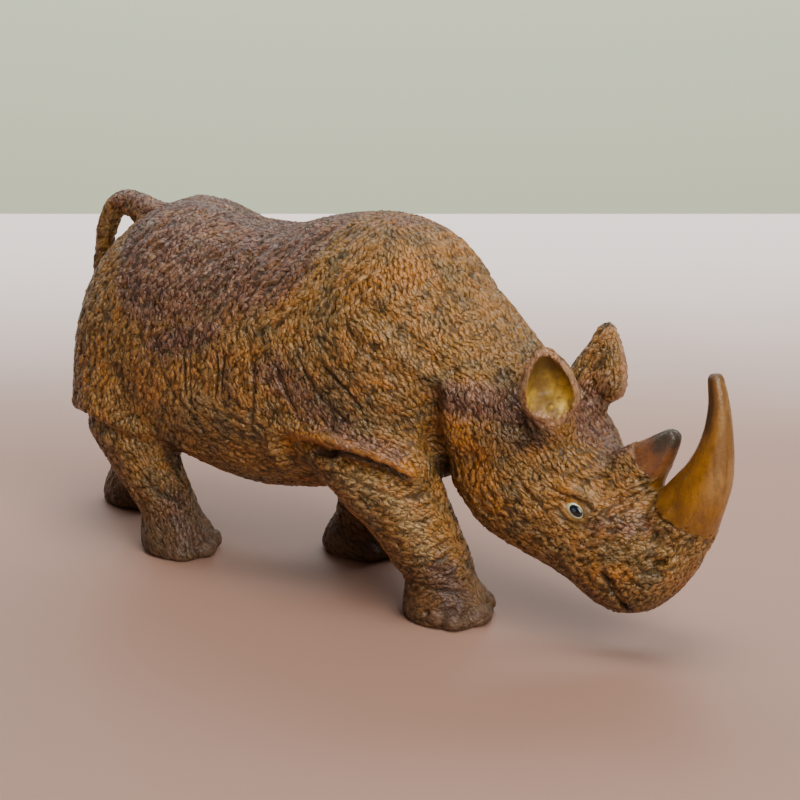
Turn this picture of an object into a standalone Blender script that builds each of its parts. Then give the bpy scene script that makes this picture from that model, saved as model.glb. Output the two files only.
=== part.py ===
"""A carved wooden rhinoceros that walks with its head low, in one solid piece.

The figure faces +X, its right side is towards -Y and it stands on the plane Z = 0.
Positions along the figure are in carving units. One unit is a share of the body length and
comes to one millimetre at the real size. X counts from between the forefeet, Z from the floor.
"""

import math

import bmesh
import bpy
import numpy as np
from mathutils import Matrix, Vector

# Driving sizes, in metres
BODY_LENGTH = 0.240
UNIT = BODY_LENGTH / 240

# Mesh finish, in carving units
FORM_VOXEL = 1.1
DETAIL_VOXEL = 0.8
RING_POINTS = 40
TRIANGLES_WANTED = 9500

WOOD_BROWN = (0.30, 0.15, 0.055, 1.0)

# Each row of a body form: X, Z of the section's middle, pitch of the section in degrees,
# half width, height above the middle, depth below it, Y of the middle, squareness
TRUNK = (
    (-119.0, 68, 0, 5, 6, 8, 0, 2.0),
    (-116.5, 68, 0, 12, 13, 18, 0, 2.1),
    (-110.5, 68, 0, 20.5, 24, 26, 0, 2.15),
    (-101.0, 67, 0, 28.5, 36, 31, 0, 2.2),
    (-90.0, 66, 0, 33.0, 44.8, 33, 0, 2.2),
    (-81.5, 66, 0, 34.3, 48.3, 33.5, 0, 2.2),
    (-73.0, 66, 0, 35, 48.4, 34, 0, 2.2),
    (-58.0, 65, 0, 35.5, 46.2, 36.5, 0, 2.2),
    (-42.0, 65, 0, 35.5, 46.0, 38, 0, 2.2),
    (-27.0, 66, 0, 35, 50, 37, 0, 2.15),
    (-12.0, 68, 0, 34, 51.8, 36, 0, 2.1),
    (3.0, 70, 0, 32, 50.3, 35, 0, 2.05),
    (16.0, 71, 0, 29, 45, 32, 0, 2.0),
    (26.0, 70, 0, 24, 36, 26, 0, 2.0),
    (34.0, 69, 0, 16, 24, 16, 0, 2.0),
)
NECK = (
    (-4.0, 80, -20, 25, 32, 30, 0, 2.0),
    (14.0, 77, -30, 26, 29, 32, 0, 2.0),
    (30.0, 71, -38, 24, 22.5, 28, -1, 2.0),
    (45.0, 64, -42, 21, 17.5, 22, -2, 2.0),
    (58.0, 57, -44, 17, 16, 17, -3, 2.0),
)
HEAD = (
    (26.5, 57, -32, 8, 10, 8, -1, 2.0),
    (32.0, 55, -32, 16, 20, 13, -1, 2.1),
    (43.0, 49, -32, 20, 25, 19, -2, 2.2),
    (54.0, 45, -32, 20.5, 25, 21, -3, 2.2),
    (66.0, 40, -32, 19, 23.5, 19.5, -4, 2.2),
    (77.0, 34, -32, 17, 22, 17, -5, 2.2),
    (88.0, 29, -32, 16, 20, 18, -6, 2.3),
    (97.0, 26, -32, 15, 18.5, 16, -6, 2.3),
    (102.5, 25.5, -32, 11.5, 14.5, 11.5, -7, 2.2),
    (105.5, 26, -32, 6, 7.5, 6, -7, 2.0),
)

# Each row of a leg: Z, X and Y of the section's middle, half length, half width
FORELEG_RIGHT = (
    (70, -4, -16, 24, 14),
    (58, 0, -20, 26, 15),
    (48, 4, -22, 23, 14.5),
    (38, 11, -21.5, 18.5, 13.5),
    (28, 19.1, -20, 14.2, 12),
    (20, 23.7, -18.5, 12.2, 11.2),
    (13, 26, -17, 11.2, 11),
    (8, 27.2, -16, 12.8, 12.2),
    (3, 28, -16, 14.5, 13.5),
    (0, 28.6, -16, 14, 13),
)
FORELEG_LEFT = (
    (70, -4, 16, 24, 14),
    (58, -8, 20, 24, 15),
    (48, -11, 22, 20, 14),
    (38, -16, 21, 15.5, 13),
    (28, -20, 19.5, 12.5, 11.5),
    (18, -23, 18, 10.5, 10.5),
    (13, -24.5, 18, 10.5, 10.5),
    (8, -25, 17.5, 12.5, 12),
    (3, -25, 17.5, 14.5, 13.5),
    (0, -25, 17.5, 14, 13),
)
HINDLEG_RIGHT = (
    (75, -91, -15, 19, 16),
    (60, -91, -19, 20, 16),
    (46, -91, -21, 16.3, 14),
    (34, -87.8, -20, 12.4, 11.5),
    (22, -82.7, -18, 10.7, 10),
    (14, -78.7, -16.5, 10, 9.5),
    (8, -77, -16, 11.5, 11),
    (3, -75.5, -16, 13, 12),
    (0, -75, -16, 12.5, 11.5),
)
HINDLEG_LEFT = (
    (75, -92, 15, 20, 16),
    (60, -96, 19, 22, 16),
    (46, -101, 20, 17, 14),
    (34, -107, 18, 12, 11.5),
    (22, -112, 16, 10.5, 10),
    (14, -114.5, 14.5, 10, 9.5),
    (8, -115, 14, 11.5, 11),
    (3, -115, 14, 13, 12),
    (0, -115, 14, 12.5, 11.5),
)

# Each row of a rod: X, Y, Z of its middle and its radius
FRONT_HORN = (
    (97.5, -6.0, 33, 9.0),
    (102.5, -6.3, 42, 11.0),
    (107.3, -6.7, 51, 9.5),
    (112.0, -7.0, 60, 7.4),
    (114.5, -7.3, 71, 4.9),
    (114.8, -7.4, 82, 3.2),
    (113, -7.4, 91.5, 2.3),
)
REAR_HORN = (
    (84.5, -4.9, 51, 11.5),
    (87.7, -5.0, 56, 9.0),
    (92.3, -5.2, 61.0, 6.4),
    (96.8, -5.5, 66.3, 4.2),
    (100.4, -5.8, 70.6, 2.2),
)
TAIL = (
    (-80, 0, 103, 7.5),
    (-89, 0, 104.5, 6.6),
    (-97, 0, 107.0, 5.3),
    (-102, 0, 109.2, 4.5),
    (-107, 0, 109.6, 3.9),
    (-111.5, 0, 106.3, 3.5),
    (-114.5, 0, 99.5, 3.2),
    (-116.3, 0, 91, 3.1),
    (-117.3, 0, 83, 3.1),
)

# Each ear: middle, direction it stands up in, direction its hollow faces
EAR_RIGHT = ((64.3, -19.2, 83.3), (-0.02, -0.26, 1.0), (0.55, -0.83, 0.05))
EAR_LEFT = ((66.5, 12.5, 82), (-0.08, 0.16, 1.0), (0.55, 0.83, 0.05))
EAR_HALF_HEIGHT = 12.5
EAR_HALF_WIDTH = 8.5
EAR_HALF_DEPTH = 6.5
EAR_RIM = 1.9
EAR_TAPER = 0.38
EAR_STEM_RIGHT = ((60, -10, 63, 9.5), (62, -14, 71, 7.5), (63.5, -17, 78, 5))
EAR_STEM_LEFT = ((59, 4, 62, 9), (61, 8, 70, 8), (63, 10.5, 78, 7), (66, 12, 86, 4.5))

# Each mass: middle, half sizes, pitch in degrees
SHOULDER = ((2, -15, 76), (27, 19, 28), 12)
HAUNCH = ((-88, -17, 66), (24, 17, 28), 0)
BUTTOCK = ((-100, -19.5, 52.5), (12, 12, 13.5), 0)
CHEEK = ((57, -10, 58), (20, 10, 14), 32)

# The head turns a little to its right, so its mirror plane slides along Y with X
HEAD_TURN = 0.0875
HEAD_TURN_START = 30

# Each cut of the carving: width, depth, height of the lip above it, how far back it lies
# on the left side, then its path on the right side
BODY_CUTS = (
    (
        *(2.4, 3.2, 2.2, 11),
        ((-20, -32, 44), (-22, -33, 51), (-15, -34, 54), (-4, -35, 53), (6, -35, 51.5), (14, -34, 50), (20, -31, 47.5)),
    ),
    (2.4, 2.8, 1.4, 3, ((-107, -25, 43), (-103, -30, 45), (-96, -33, 46), (-84, -33, 42), (-74, -29, 38), (-66, -26, 37))),
    (3.4, 4.5, 1.0, 0, ((28, -27, 74), (27, -24, 64), (26, -21, 56), (23, -14, 48))),
    (2.0, 0.9, 0.5, 0, ((-1, -31, 92), (16, -31, 84), (28, -25, 76))),
    (2.0, 0.9, 0.5, 0, ((2, -26, 100), (20, -25, 91), (35, -23, 80))),
    (8.0, 0.9, 0.0, 0, ((-61, -13, 110), (-55, -30, 92), (-55, -35, 71), (-61, -31, 48))),
    (8.0, 0.9, 0.0, 0, ((-13, -13, 114), (-11, -27, 99), (-18, -34, 77), (-24, -34, 60))),
)
HEAD_CUTS = (
    (2.0, 0.8, 0.4, 0, ((34, -25, 72), (49, -21, 69), (60, -17, 67))),
    (1.3, 1.6, 0.5, 0, ((86.5, -22, 28), (89, -22, 25), (91, -21, 21), (93, -18, 16), (99, -15, 13.5), (105, -9, 14))),
    (1.1, 2.0, 0.4, 0, ((100.5, -20, 35), (104.5, -18, 34.5))),
    (1.0, 0.7, 0.5, 0, ((68, -22, 49), (74, -21, 49.5), (80, -20, 46))),
    (1.0, 0.5, 0.0, 0, ((71, -22, 44), (75, -22, 42.5), (79, -21, 43.5))),
)
EYE = (75.5, -21, 46)
EYE_RADIUS = 2.0

# Each foot: X and Y of its middle, how far its sole reaches
FEET = ((28, -16, 14.5), (-25, 17.5, 14.5), (-75.5, -16, 13), (-115, 14, 13))
TOE_ANGLES = (-48, 0, 48)
ANKLE_HEIGHT = 13
SOLE_CUT = 0.5


def clear_scene():
    for obj in list(bpy.data.objects):
        bpy.data.objects.remove(obj)


def between(rows, steps):
    """The rows of a table with smooth Catmull-Rom rows put in between them."""
    rows = np.array(rows, float)
    padded = np.vstack([2 * rows[0] - rows[1], rows, 2 * rows[-1] - rows[-2]])
    dense = []
    for i in range(len(rows) - 1):
        a, b, c, d = padded[i : i + 4]
        for t in np.linspace(0, 1, steps, endpoint=False):
            dense.append(
                0.5 * (2 * b + (c - a) * t + (2 * a - 5 * b + 4 * c - d) * t**2 + (3 * b - a - 3 * c + d) * t**3)
            )
    dense.append(rows[-1])
    return np.array(dense)


def super_ring(half_width, above, below, squareness):
    """Sideways and upward offsets round one section, a superellipse with unlike upper and lower halves."""
    angles = np.linspace(0, 2 * math.pi, RING_POINTS, endpoint=False)
    c, s = np.cos(angles), np.sin(angles)
    side = half_width * np.sign(c) * np.abs(c) ** (2 / squareness)
    up = np.where(s > 0, above, below) * np.sign(s) * np.abs(s) ** (2 / squareness)
    return side, up


def place(name, mesh):
    obj = bpy.data.objects.new(name, mesh)
    bpy.context.scene.collection.objects.link(obj)
    return obj


def skin_rings(name, rings):
    """One closed mesh object over a row of rings, with a fan at each end."""
    mesh = bpy.data.meshes.new(name)
    bm = bmesh.new()
    loops = [[bm.verts.new(Vector(p) * UNIT) for p in ring] for ring in rings]
    for one, two in zip(loops, loops[1:]):
        for i in range(len(one)):
            j = (i + 1) % len(one)
            bm.faces.new((one[i], one[j], two[j], two[i]))
    for loop in (loops[0], loops[-1]):
        centre = bm.verts.new(sum((v.co for v in loop), Vector()) / len(loop))
        for i in range(len(loop)):
            bm.faces.new((loop[i], loop[(i + 1) % len(loop)], centre))
    bmesh.ops.recalc_face_normals(bm, faces=bm.faces)
    bm.to_mesh(mesh)
    bm.free()
    return place(name, mesh)


def body_form(name, rows, steps=4):
    rings = []
    for x, z, pitch, width, above, below, y, square in between(rows, steps):
        side, up = super_ring(width, above, below, square)
        lean = math.radians(pitch)
        rings.append([(x - math.sin(lean) * u, y + s, z + math.cos(lean) * u) for s, u in zip(side, up)])
    return skin_rings(name, rings)


def leg_form(name, rows, steps=4):
    rings = []
    for z, x, y, long, wide in between(rows, steps):
        side, fore = super_ring(wide, long, long, 2.1)
        rings.append([(x + f, y + s, z) for s, f in zip(side, fore)])
    return skin_rings(name, rings)


def rod(name, rows, steps=6):
    """A bent rod of changing thickness: a curve with a round bevel and closed ends."""
    curve = bpy.data.curves.new(name, "CURVE")
    curve.dimensions = "3D"
    curve.bevel_depth = UNIT
    curve.bevel_resolution = 6
    curve.use_fill_caps = True
    dense = between(rows, steps)
    spline = curve.splines.new("POLY")
    spline.points.add(len(dense) - 1)
    for point, (x, y, z, radius) in zip(spline.points, dense):
        point.co = (x * UNIT, y * UNIT, z * UNIT, 1)
        point.radius = radius
    obj = place(name, curve)
    mesh = bpy.data.meshes.new_from_object(obj.evaluated_get(bpy.context.evaluated_depsgraph_get()))
    bpy.data.objects.remove(obj)
    return place(name, mesh)


def ball(name, middle, half_sizes, turn):
    """An ellipsoid turned by a matrix."""
    mesh = bpy.data.meshes.new(name)
    bm = bmesh.new()
    bmesh.ops.create_uvsphere(bm, u_segments=40, v_segments=24, radius=UNIT)
    scale = Matrix.Diagonal((*half_sizes, 1))
    bm.transform(Matrix.Translation(Vector(middle) * UNIT) @ turn.to_4x4() @ scale)
    bm.to_mesh(mesh)
    bm.free()
    return place(name, mesh)


def mass(name, row, side):
    (x, y, z), sizes, pitch = row
    return ball(name, (x, y * side, z), sizes, Matrix.Rotation(math.radians(pitch), 3, "Y"))


def ear(name, middle, up, face):
    """A cup: an ellipsoid with a smaller one cut out of the side that it faces."""
    up = Vector(up).normalized()
    face = (Vector(face) - Vector(face).dot(up) * up).normalized()
    turn = Matrix((face.cross(up), face, up)).transposed()
    outer = ball(name, middle, (EAR_HALF_WIDTH, EAR_HALF_DEPTH, EAR_HALF_HEIGHT), turn)
    inner_sizes = (EAR_HALF_WIDTH - EAR_RIM, EAR_HALF_DEPTH, EAR_HALF_HEIGHT - EAR_RIM)
    inner = ball(name + "_hollow", Vector(middle) + face * 3.2, inner_sizes, turn)
    for part in (outer, inner):
        for vert in part.data.vertices:
            away = vert.co / UNIT - Vector(middle)
            height = away.dot(up)
            across = away - height * up
            vert.co -= across * UNIT * EAR_TAPER * height / EAR_HALF_HEIGHT
    cut = outer.modifiers.new("hollow", "BOOLEAN")
    cut.operation = "DIFFERENCE"
    cut.solver = "EXACT"
    cut.object = inner
    mesh = bpy.data.meshes.new_from_object(outer.evaluated_get(bpy.context.evaluated_depsgraph_get()))
    for obj in (outer, inner):
        bpy.data.objects.remove(obj)
    return place(name, mesh)


def baked(obj, name):
    """The object's shape with its modifiers, as a new plain object in its place."""
    mesh = bpy.data.meshes.new_from_object(obj.evaluated_get(bpy.context.evaluated_depsgraph_get()))
    bpy.data.objects.remove(obj)
    return place(name, mesh)


def fused(name, forms, voxel, smoothing):
    """One skin round overlapping forms, with the joins between them smoothed."""
    bm = bmesh.new()
    for form in forms:
        bm.from_mesh(form.data)
        bpy.data.objects.remove(form)
    mesh = bpy.data.meshes.new(name)
    bm.to_mesh(mesh)
    bm.free()
    obj = place(name, mesh)
    remesh = obj.modifiers.new("one skin", "REMESH")
    remesh.mode = "VOXEL"
    remesh.voxel_size = voxel * UNIT
    smooth = obj.modifiers.new("blend", "SMOOTH")
    smooth.factor = 0.5
    smooth.iterations = smoothing
    return baked(obj, name)


def read_points(mesh):
    count = len(mesh.vertices)
    points = np.empty(count * 3, np.float32)
    normals = np.empty(count * 3, np.float32)
    mesh.vertices.foreach_get("co", points)
    mesh.vertices.foreach_get("normal", normals)
    return points.reshape(-1, 3).astype(float) / UNIT, normals.reshape(-1, 3).astype(float)


def mirrored(path, is_head):
    """The same path on the other side of the animal."""
    flipped = []
    for x, y, z in path:
        middle = -HEAD_TURN * (x - HEAD_TURN_START) if is_head else 0
        flipped.append((x, 2 * middle - y, z))
    return flipped


def cut_depth(points, normals, path, width, depth, lip, lip_side):
    """How far each point moves along its normal for one cut with a raised lip along one side."""
    path = between(path, 4)
    best = np.full(len(points), 1e9)
    side = np.zeros(len(points))
    for a, b in zip(path, path[1:]):
        along = b - a
        t = np.clip(((points - a) @ along) / (along @ along), 0, 1)
        away = points - (a + t[:, None] * along)
        distance = np.linalg.norm(away, axis=1)
        across = np.cross(normals, along / np.linalg.norm(along))
        nearer = distance < best
        best = np.where(nearer, distance, best)
        side = np.where(nearer, np.einsum("ij,ij->i", away, across), side)
    lip_distance = np.hypot(side * lip_side - 1.8 * width, np.maximum(best - np.abs(side), 0))
    return lip * np.exp(-((lip_distance / (1.1 * width)) ** 2)) - depth * np.exp(-((best / width) ** 2))


def carve_cuts(points, normals):
    moves = np.zeros(len(points))
    for cuts, is_head in ((BODY_CUTS, False), (HEAD_CUTS, True)):
        for width, depth, lip, setback, path in cuts:
            left = [(x - setback, y, z) for x, y, z in mirrored(path, is_head)]
            moves += cut_depth(points, normals, path, width, depth, lip, 1)
            moves += cut_depth(points, normals, left, width, depth, lip, -1)
    return moves


def carve_eyes(points):
    """A shallow socket round each eyeball."""
    moves = np.zeros(len(points))
    for middle in (EYE, mirrored([EYE], True)[0]):
        distance = np.linalg.norm(points - np.array(middle), axis=1)
        moves -= 0.7 * np.exp(-((distance / (1.9 * EYE_RADIUS)) ** 2))
        moves += 1.0 * np.exp(-((distance / EYE_RADIUS) ** 4))
    return moves


def carve_feet(points):
    """Three toes on the front of each foot and a crease round each ankle."""
    moves = np.zeros(len(points))
    for x, y, reach in FEET:
        apart = points[:, :2] - np.array((x, y))
        near = np.hypot(apart[:, 0], apart[:, 1]) < 1.25 * reach
        angle = np.degrees(np.arctan2(apart[:, 1], apart[:, 0]))
        low = np.exp(-(((points[:, 2] - 3.5) / 4.0) ** 2))
        toes = sum(np.exp(-(((angle - toe) / 17) ** 2)) for toe in TOE_ANGLES)
        front = np.clip((82 - np.abs(angle)) / 20, 0, 1)
        moves += near * low * front * (2.2 * toes - 1.0)
        moves -= near * 0.4 * np.exp(-(((points[:, 2] - ANKLE_HEIGHT) / 3.0) ** 2))
    return moves


def carved(obj):
    points, normals = read_points(obj.data)
    moves = carve_cuts(points, normals) + carve_eyes(points) + carve_feet(points)
    points += moves[:, None] * normals
    obj.data.vertices.foreach_set("co", (points * UNIT).ravel())
    obj.data.update()


def faceted(obj, name):
    """The skin with no more triangles than the carving needs, and flat soles."""
    reduce = obj.modifiers.new("facets", "DECIMATE")
    reduce.ratio = TRIANGLES_WANTED / (2 * len(obj.data.polygons))
    obj = baked(obj, name)
    bm = bmesh.new()
    bm.from_mesh(obj.data)
    floor = SOLE_CUT * UNIT
    geometry = bm.verts[:] + bm.edges[:] + bm.faces[:]
    cut = bmesh.ops.bisect_plane(
        bm, geom=geometry, plane_co=(0, 0, floor), plane_no=(0, 0, 1), clear_inner=True
    )
    rims = [edge for edge in cut["geom_cut"] if isinstance(edge, bmesh.types.BMEdge)]
    for vert in {vert for edge in rims for vert in edge.verts}:
        vert.co.z = floor
    bmesh.ops.holes_fill(bm, edges=rims, sides=0)
    bmesh.ops.triangulate(bm, faces=bm.faces)
    bmesh.ops.recalc_face_normals(bm, faces=bm.faces)
    low = Vector([min(vert.co[i] for vert in bm.verts) for i in range(3)])
    high = Vector([max(vert.co[i] for vert in bm.verts) for i in range(3)])
    for vert in bm.verts:
        vert.co -= Vector(((low.x + high.x) / 2, (low.y + high.y) / 2, floor))
    bm.to_mesh(obj.data)
    bm.free()
    obj.data.shade_smooth()
    obj.data.set_sharp_from_angle(angle=math.radians(50))
    return obj


def wood():
    material = bpy.data.materials.new("carved wood")
    material.use_nodes = True
    shader = material.node_tree.nodes["Principled BSDF"]
    shader.inputs["Base Color"].default_value = WOOD_BROWN
    shader.inputs["Roughness"].default_value = 0.5
    shader.inputs["Metallic"].default_value = 0.0
    return material


def main():
    clear_scene()
    body = fused(
        "body",
        [
            body_form("trunk", TRUNK),
            body_form("neck", NECK),
            body_form("head", HEAD),
            leg_form("foreleg_right", FORELEG_RIGHT),
            leg_form("foreleg_left", FORELEG_LEFT),
            leg_form("hindleg_right", HINDLEG_RIGHT),
            leg_form("hindleg_left", HINDLEG_LEFT),
            mass("shoulder_right", SHOULDER, 1),
            mass("shoulder_left", SHOULDER, -1),
            mass("haunch_right", HAUNCH, 1),
            mass("haunch_left", HAUNCH, -1),
            mass("buttock_right", BUTTOCK, 1),
            mass("buttock_left", BUTTOCK, -1),
            mass("cheek_right", CHEEK, 1),
            mass("cheek_left", CHEEK, -0.7),
        ],
        FORM_VOXEL,
        20,
    )
    animal = fused(
        "animal",
        [
            body,
            rod("front_horn", FRONT_HORN),
            rod("rear_horn", REAR_HORN),
            rod("tail", TAIL),
            rod("ear_stem_right", EAR_STEM_RIGHT),
            rod("ear_stem_left", EAR_STEM_LEFT),
            ear("ear_right", *EAR_RIGHT),
            ear("ear_left", *EAR_LEFT),
        ],
        DETAIL_VOXEL,
        2,
    )
    carved(animal)
    rhinoceros = faceted(animal, "rhinoceros")
    rhinoceros.data.materials.append(wood())
    collection = bpy.data.collections.new("rhinoceros figurine")
    bpy.context.scene.collection.children.link(collection)
    bpy.context.scene.collection.objects.unlink(rhinoceros)
    collection.objects.link(rhinoceros)


main()
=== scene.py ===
import math

import bmesh
import bpy
import numpy as np
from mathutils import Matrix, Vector
from mathutils.bvhtree import BVHTree


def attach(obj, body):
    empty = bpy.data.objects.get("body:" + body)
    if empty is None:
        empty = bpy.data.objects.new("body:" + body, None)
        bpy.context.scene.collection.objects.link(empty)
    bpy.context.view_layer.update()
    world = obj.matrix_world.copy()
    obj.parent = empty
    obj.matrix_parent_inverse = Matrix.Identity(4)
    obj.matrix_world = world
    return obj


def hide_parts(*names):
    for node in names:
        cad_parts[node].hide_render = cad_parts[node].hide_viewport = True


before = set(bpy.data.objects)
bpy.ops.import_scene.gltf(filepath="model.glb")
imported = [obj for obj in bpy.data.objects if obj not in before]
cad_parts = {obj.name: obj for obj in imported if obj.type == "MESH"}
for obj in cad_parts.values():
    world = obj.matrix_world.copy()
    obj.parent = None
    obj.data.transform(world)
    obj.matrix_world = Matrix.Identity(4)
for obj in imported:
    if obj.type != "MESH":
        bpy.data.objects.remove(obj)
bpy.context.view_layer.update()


# The view. The figure is seen from its right front and from a little above, from about a
# metre away, through a long lens.
LOOK_AT = Vector((0.0041, 0.0, 0.0605))
CAMERA_TURN = math.radians(33)
CAMERA_HEIGHT = math.radians(18.5)
CAMERA_DISTANCE = 0.95
PIXELS_WIDE = 800
PIXELS_PER_METRE = 3200

camera_data = bpy.data.cameras.new("camera")
camera_data.lens = camera_data.sensor_width * PIXELS_PER_METRE * CAMERA_DISTANCE / PIXELS_WIDE
camera_data.clip_end = 20
camera = bpy.data.objects.new("camera", camera_data)
bpy.context.scene.collection.objects.link(camera)
camera.rotation_euler = (math.pi / 2 - CAMERA_HEIGHT, 0, CAMERA_TURN)
toward_camera = Vector(
    (
        math.sin(CAMERA_TURN) * math.cos(CAMERA_HEIGHT),
        -math.cos(CAMERA_TURN) * math.cos(CAMERA_HEIGHT),
        math.sin(CAMERA_HEIGHT),
    )
)
camera.location = LOOK_AT + CAMERA_DISTANCE * toward_camera
bpy.context.scene.camera = camera


# The table and the light. A plain pale table top with a plain backdrop behind it, under soft
# lights from above and from the front right; the table's far end and the backdrop have their own.
# The table's far part is painted paler, a painted reflection of the bright backdrop.
class Socket:
    """An output socket that can stand in a sum, in a shader or in a geometry tree."""

    def __init__(self, tree, output):
        self.tree = tree
        self.output = output

    def node(self, kind, settings=None, inputs=None, output=0):
        return add_node(self.tree, kind, settings, inputs, output)

    def beside(self, name):
        """Another output of the same node."""
        return Socket(self.tree, self.output.node.outputs[name])

    def math(self, operation, *values, clamp=False):
        inputs = dict(enumerate((self, *values)))
        return self.node("ShaderNodeMath", {"operation": operation, "use_clamp": clamp}, inputs)

    def __add__(self, other):
        return self.math("ADD", other)

    def __radd__(self, other):
        return self.math("ADD", other)

    def __sub__(self, other):
        return self.math("SUBTRACT", other)

    def __rsub__(self, other):
        return self.node("ShaderNodeMath", {"operation": "SUBTRACT"}, {0: other, 1: self})

    def __mul__(self, other):
        return self.math("MULTIPLY", other)

    def __rmul__(self, other):
        return self.math("MULTIPLY", other)

    def __truediv__(self, other):
        return self.math("DIVIDE", other)

    def __rtruediv__(self, other):
        return self.node("ShaderNodeMath", {"operation": "DIVIDE"}, {0: other, 1: self})

    def __pow__(self, other):
        return self.math("POWER", other)

    def clamp(self):
        return self.math("ADD", 0.0, clamp=True)

    def rise(self, low, high):
        """Goes smoothly from 0 at low to 1 at high."""
        settings = {"interpolation_type": "SMOOTHSTEP"}
        inputs = {"Value": self, "From Min": low, "From Max": high, "To Min": 0.0, "To Max": 1.0}
        return self.node("ShaderNodeMapRange", settings, inputs)

    def biggest(self, other):
        return self.math("MAXIMUM", other)


def add_node(tree, kind, settings=None, inputs=None, output=0):
    """A node with its settings made first, then its sockets given values or links."""
    node = tree.nodes.new(kind)
    for name, value in (settings or {}).items():
        setattr(node, name, value)
    for name, value in (inputs or {}).items():
        if isinstance(value, Socket):
            tree.links.new(value.output, node.inputs[name])
        else:
            node.inputs[name].default_value = value
    return Socket(tree, node.outputs[output])


def vector_math(operation, *values, scale=None, output=0):
    first = next(value for value in values if isinstance(value, Socket))
    inputs = dict(enumerate(values))
    if scale is not None:
        inputs["Scale"] = scale
    return first.node("ShaderNodeVectorMath", {"operation": operation}, inputs, output)


def dot(one, two):
    return vector_math("DOT_PRODUCT", one, two, output="Value")


def blend(factor, one, two, kind="MIX"):
    """One colour turning into another as the factor goes from 0 to 1."""
    source = next(value for value in (factor, one, two) if isinstance(value, Socket))
    inputs = {0: factor}
    for slot, value in ((6, one), (7, two)):
        inputs[slot] = value if isinstance(value, Socket) else (*value, 1.0)
    settings = {"data_type": "RGBA", "blend_type": kind, "clamp_factor": True}
    return source.node("ShaderNodeMix", settings, inputs, 2)


def new_material(name):
    material = bpy.data.materials.new(name)
    material.use_nodes = True
    return material, material.node_tree, material.node_tree.nodes["Principled BSDF"]


def object_place(tree):
    return add_node(tree, "ShaderNodeTexCoord", {}, {}, "Object")


def cloud(place, scale, detail=3.0, roughness=0.55):
    inputs = {"Vector": place, "Scale": scale, "Detail": detail, "Roughness": roughness}
    return place.node("ShaderNodeTexNoise", {}, inputs)


def flat_sheet(name, corners, near_colour, far_colour, roughness):
    """A plain sheet whose colour changes softly from its near part to its far part."""
    mesh = bpy.data.meshes.new(name)
    mesh.from_pydata(corners, [], [(0, 1, 2, 3)])
    sheet = bpy.data.objects.new(name, mesh)
    bpy.context.scene.collection.objects.link(sheet)
    material, tree, shader = new_material(name)
    place = object_place(tree)
    how_far = dot(place, tuple(away)) + cloud(place, 6.0, 2.0) * 0.1
    colour = blend(how_far.rise(0.15, 0.43), near_colour, far_colour)
    tree.links.new(colour.output, shader.inputs["Base Color"])
    shader.inputs["Roughness"].default_value = roughness
    mesh.materials.append(material)


across_view = Vector((math.cos(CAMERA_TURN), math.sin(CAMERA_TURN), 0))
away = Vector((-math.sin(CAMERA_TURN), math.cos(CAMERA_TURN), 0))
up = Vector((0, 0, 1))
HALF_WIDE = 1.5
TABLE_START = -1.4
TABLE_END = 0.448
WALL_AWAY = 1.6
WALL_HIGH = 1.6
NEAR_TABLE = (0.385, 0.225, 0.168)
# The far colour is a painted reflection of the backdrop's light on the table top
FAR_TABLE_PAINTED_SHEEN = (0.74, 0.615, 0.575)
WALL_GREEN = (0.70, 0.74, 0.53)
near_left = TABLE_START * away - HALF_WIDE * across_view
near_right = TABLE_START * away + HALF_WIDE * across_view
far_right = TABLE_END * away + HALF_WIDE * across_view
far_left = TABLE_END * away - HALF_WIDE * across_view
table_corners = [near_left, near_right, far_right, far_left]
flat_sheet("table", table_corners, NEAR_TABLE, FAR_TABLE_PAINTED_SHEEN, 0.5)
wall = WALL_AWAY * away
low_left = wall - HALF_WIDE * across_view - WALL_HIGH * up
low_right = wall + HALF_WIDE * across_view - WALL_HIGH * up
wall_corners = [low_left, low_right, low_right + WALL_HIGH * up, low_left + WALL_HIGH * up]
flat_sheet("backdrop", wall_corners, WALL_GREEN, WALL_GREEN, 0.9)

world = bpy.data.worlds.new("room")
bpy.context.scene.world = world
world.use_nodes = True
room_light = world.node_tree.nodes["Background"]
room_light.inputs["Color"].default_value = (1.0, 0.97, 0.93, 1.0)
room_light.inputs["Strength"].default_value = 0.095


def soft_light(name, size, energy, place, aim, colour):
    data = bpy.data.lights.new(name, "AREA")
    data.shape = "RECTANGLE"
    data.size, data.size_y = size
    data.energy = energy
    data.color = colour
    lamp = bpy.data.objects.new(name, data)
    bpy.context.scene.collection.objects.link(lamp)
    lamp.location = place
    lamp.rotation_euler = (aim - place).to_track_quat("-Z", "Y").to_euler()


overhead_place = LOOK_AT + 0.05 * across_view - 0.2 * away + 0.9 * up
front_place = LOOK_AT + 0.5 * across_view - 0.95 * away + 0.55 * up
soft_light("overhead", (0.5, 0.5), 6.4, overhead_place, LOOK_AT, (1.0, 0.97, 0.93))
soft_light("front", (0.7, 0.7), 13.5, front_place, LOOK_AT, (1.0, 0.95, 0.88))
soft_light("table_end", (2.4, 0.1), 2.5, 0.44 * away + 0.24 * up, 0.42 * away, (0.85, 0.97, 1.0))
soft_light("backdrop_wash", (3.0, 0.8), 51, 0.9 * away + 0.9 * up, wall - 0.4 * up, (1.0, 1.0, 1.0))


# The carved rhinoceros. It is one block of wood, roughed out and rounded, and then its folds,
# face and feet are cut with a small gouge. The sizes here are in millimetres.
def place_object(name, mesh):
    new_object = bpy.data.objects.new(name, mesh)
    bpy.context.scene.collection.objects.link(new_object)
    return new_object


def made_plain(piece, name):
    """The piece with its modifiers turned into plain mesh, in its place."""
    shown = piece.evaluated_get(bpy.context.evaluated_depsgraph_get())
    mesh = bpy.data.meshes.new_from_object(shown)
    bpy.data.objects.remove(piece)
    return place_object(name, mesh)


def read_vectors(mesh, what):
    values = np.empty(len(mesh.vertices) * 3, np.float32)
    mesh.vertices.foreach_get(what, values)
    return values.reshape(-1, 3).astype(float)


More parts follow.
